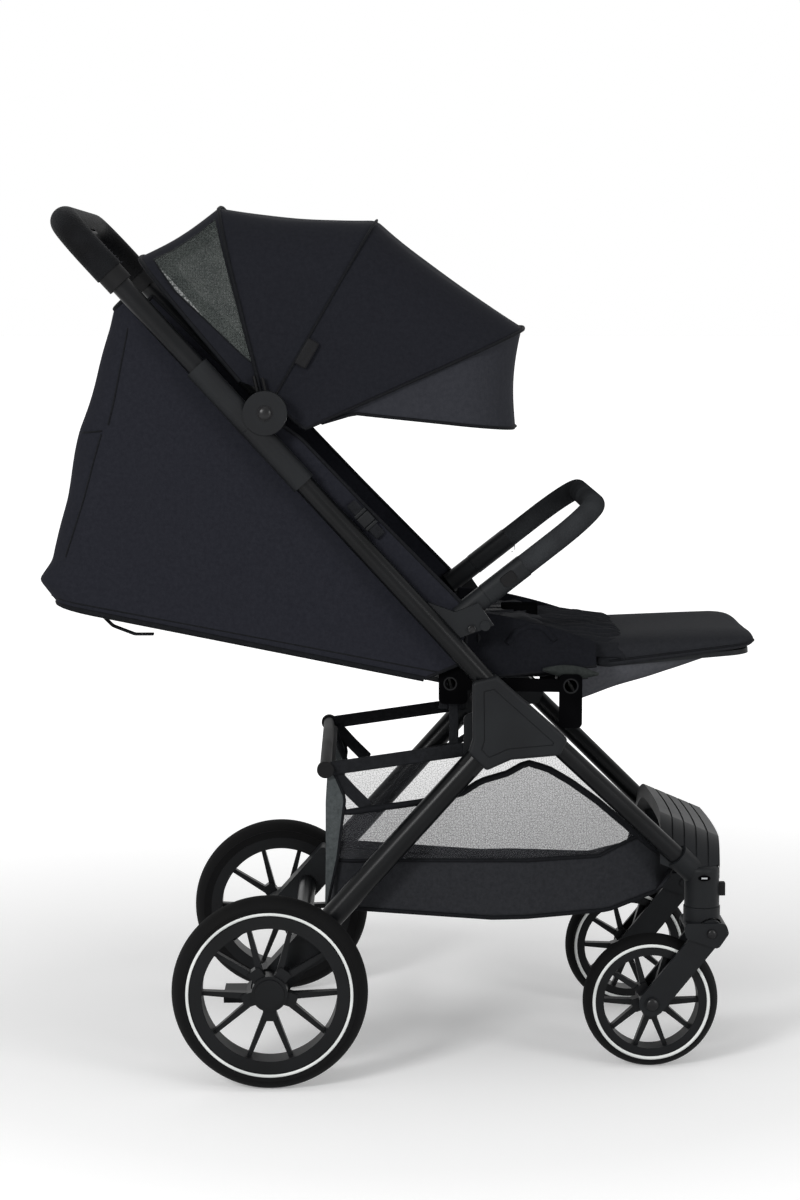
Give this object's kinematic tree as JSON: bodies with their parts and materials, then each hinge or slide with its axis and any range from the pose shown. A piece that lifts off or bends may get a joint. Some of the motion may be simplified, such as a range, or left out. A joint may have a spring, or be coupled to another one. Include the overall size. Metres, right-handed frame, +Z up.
{
  "type": "baby stroller",
  "caption": "Folding baby stroller with a leaning tube frame, reclining seat, fan canopy, bumper bar, basket, swivelling front castors and large rear wheels.",
  "frame": {"origin": "on the floor below the middle of the outer size", "axes": "+X forward to the footplate, +Y to the child's left, +Z up"},
  "size_m": [0.8493, 0.514, 1.0302],
  "materials": {
    "tube_black": "satin black powder coat",
    "housing_black": "fine matte moulding",
    "tyre_black": "matte rubber",
    "rim_black": "satin moulding",
    "steel": "zinc plated",
    "leatherette": "pebbled leatherette",
    "canopy_cloth": "close woven cloth",
    "mesh_cloth": "open mesh cloth",
    "pad_cloth": "quilted cloth",
    "basket_cloth": "mesh with cloth bands",
    "grip_rubber": "soft touch"
  },
  "bodies": {
    "chassis": {"lower_tube_right": "tube_black", "lower_tube_left": "tube_black", "hub_housing_right": "housing_black", "hub_housing_left": "housing_black", "front_leg_right": "tube_black", "front_leg_left": "tube_black", "swivel_housing_right": "housing_black", "swivel_housing_left": "housing_black", "lower_hinges": "housing_black", "pivot_pins": "steel", "footplate": "housing_black", "seat_rails": "housing_black", "seat_cross_tubes": "tube_black", "seat_pad": "pad_cloth", "harness_buckle": "housing_black", "bumper_sockets": "housing_black", "canopy_rear_bow": "housing_black", "canopy_cover": "canopy_cloth", "canopy_rear_panel": "mesh_cloth", "seat_shell": "canopy_cloth", "basket": "basket_cloth", "basket_rod": "tube_black", "basket_straps": "canopy_cloth"},
    "rear_frame": {"rear_leg_right": "tube_black", "rear_leg_left": "tube_black", "wheel_housing_right": "housing_black", "wheel_housing_left": "housing_black", "rear_cross_tube": "tube_black", "rear_axle_pins": "steel"},
    "brake": {"brake_pedal": "housing_black"},
    "handle": {"handle_tube": "tube_black", "handle_grip": "leatherette", "grip_sleeves": "grip_rubber", "upper_hinges": "housing_black"},
    "fold_release": {"fold_button": "housing_black"},
    "bumper": {"bumper_bar": "leatherette", "bumper_adaptors": "housing_black"},
    "canopy_mid": {"canopy_mid_bow": "housing_black"},
    "canopy_front": {"canopy_front_bow": "housing_black", "canopy_visor": "canopy_cloth"},
    "backrest": {"backrest_board": "housing_black", "backrest_pad": "pad_cloth"},
    "legrest": {"legrest_board": "housing_black", "legrest_pad": "pad_cloth"},
    "rear_wheel_right": {"rear_tyre_right": "tyre_black", "rear_rim_right": "rim_black"},
    "fork_right": {"fork_crown_right": "housing_black"},
    "fork_arm_right": {"fork_arm_right": "housing_black"},
    "front_wheel_right": {"front_tyre_right": "tyre_black", "front_rim_right": "rim_black"},
    "swivel_lock_right": {"swivel_lock_right": "housing_black"},
    "bumper_button_right": {"bumper_button_right": "housing_black"},
    "rear_wheel_left": {"rear_tyre_left": "tyre_black", "rear_rim_left": "rim_black"},
    "fork_left": {"fork_crown_left": "housing_black"},
    "fork_arm_left": {"fork_arm_left": "housing_black"},
    "front_wheel_left": {"front_tyre_left": "tyre_black", "front_rim_left": "rim_black"},
    "swivel_lock_left": {"swivel_lock_left": "housing_black"},
    "bumper_button_left": {"bumper_button_left": "housing_black"}
  },
  "joints": [
    {"name": "handle_fold", "type": "hinge", "parent": "chassis", "child": "handle", "pos_m": [-0.156, 0, 0.79], "axis": [0, 1, 0], "range_deg": [0, 150], "deforming": ["canopy_rear_panel"]},
    {"name": "rear_leg_fold", "type": "hinge", "parent": "chassis", "child": "rear_frame", "pos_m": [0.105, 0, 0.402], "axis": [0, -1, 0], "range_deg": [0, 50]},
    {"name": "brake_pedal_press", "type": "hinge", "parent": "rear_frame", "child": "brake", "pos_m": [-0.136, 0, 0.128], "axis": [0, -1, 0], "range_deg": [0, 15]},
    {"name": "fold_button_press", "type": "slide", "parent": "handle", "child": "fold_release", "axis": [-0.6756, 0, 0.7373], "range_m": [0, 0.0035], "stiffness_N_per_m": 600},
    {"name": "bumper_release", "type": "slide", "parent": "chassis", "child": "bumper", "axis": [0.788, 0, 0.6157], "range_m": [0, 0.04]},
    {"name": "canopy_fold", "type": "hinge", "parent": "chassis", "child": "canopy_front", "pos_m": [-0.156, 0, 0.79], "axis": [0, -1, 0], "range_deg": [0, 72], "deforming": ["canopy_cover", "canopy_visor"]},
    {"name": "canopy_mid_fold", "type": "hinge", "parent": "chassis", "child": "canopy_mid", "pos_m": [-0.156, 0, 0.79], "axis": [0, -1, 0], "range_deg": [0, 72]},
    {"name": "backrest_recline", "type": "hinge", "parent": "chassis", "child": "backrest", "pos_m": [0.059, 0, 0.471], "axis": [0, 1, 0], "range_deg": [0, 48], "deforming": ["seat_shell"]},
    {"name": "legrest_drop", "type": "hinge", "parent": "chassis", "child": "legrest", "pos_m": [0.201, 0, 0.468], "axis": [0, 1, 0], "range_deg": [0, 50]},
    {"name": "rear_wheel_spin_right", "type": "hinge", "parent": "rear_frame", "child": "rear_wheel_right", "pos_m": [-0.153, -0.238, 0.115], "axis": [0, 1, 0], "continuous": true},
    {"name": "front_swivel_right", "type": "hinge", "parent": "chassis", "child": "fork_right", "pos_m": [0.363, -0.146, 0.197], "axis": [0, 0, 1], "continuous": true},
    {"name": "front_suspension_right", "type": "hinge", "parent": "fork_right", "child": "fork_arm_right", "pos_m": [0.372, -0.146, 0.168], "axis": [0, 1, 0], "range_deg": [0, 7], "stiffness_Nm_per_rad": 200},
    {"name": "front_wheel_spin_right", "type": "hinge", "parent": "fork_arm_right", "child": "front_wheel_right", "pos_m": [0.302, -0.146, 0.0815], "axis": [0, 1, 0], "continuous": true},
    {"name": "swivel_lock_slide_right", "type": "slide", "parent": "chassis", "child": "swivel_lock_right", "axis": [0, 0, 1], "range_m": [0, 0.005]},
    {"name": "bumper_button_press_right", "type": "slide", "parent": "bumper", "child": "bumper_button_right", "axis": [0, 1, 0], "range_m": [0, 0.003], "stiffness_N_per_m": 500},
    {"name": "rear_wheel_spin_left", "type": "hinge", "parent": "rear_frame", "child": "rear_wheel_left", "pos_m": [-0.153, 0.238, 0.115], "axis": [0, 1, 0], "continuous": true},
    {"name": "front_swivel_left", "type": "hinge", "parent": "chassis", "child": "fork_left", "pos_m": [0.363, 0.146, 0.197], "axis": [0, 0, 1], "continuous": true},
    {"name": "front_suspension_left", "type": "hinge", "parent": "fork_left", "child": "fork_arm_left", "pos_m": [0.372, 0.146, 0.168], "axis": [0, 1, 0], "range_deg": [0, 7], "stiffness_Nm_per_rad": 200},
    {"name": "front_wheel_spin_left", "type": "hinge", "parent": "fork_arm_left", "child": "front_wheel_left", "pos_m": [0.302, 0.146, 0.0815], "axis": [0, 1, 0], "continuous": true},
    {"name": "swivel_lock_slide_left", "type": "slide", "parent": "chassis", "child": "swivel_lock_left", "axis": [0, 0, 1], "range_m": [0, 0.005]},
    {"name": "bumper_button_press_left", "type": "slide", "parent": "bumper", "child": "bumper_button_left", "axis": [0, -1, 0], "range_m": [0, 0.003], "stiffness_N_per_m": 500}
  ],
  "couplings": [
    {"joint": "rear_leg_fold", "follows": "handle_fold", "ratio": 0.33333},
    {"joint": "canopy_mid_fold", "follows": "canopy_fold", "ratio": 0.51389}
  ]
}
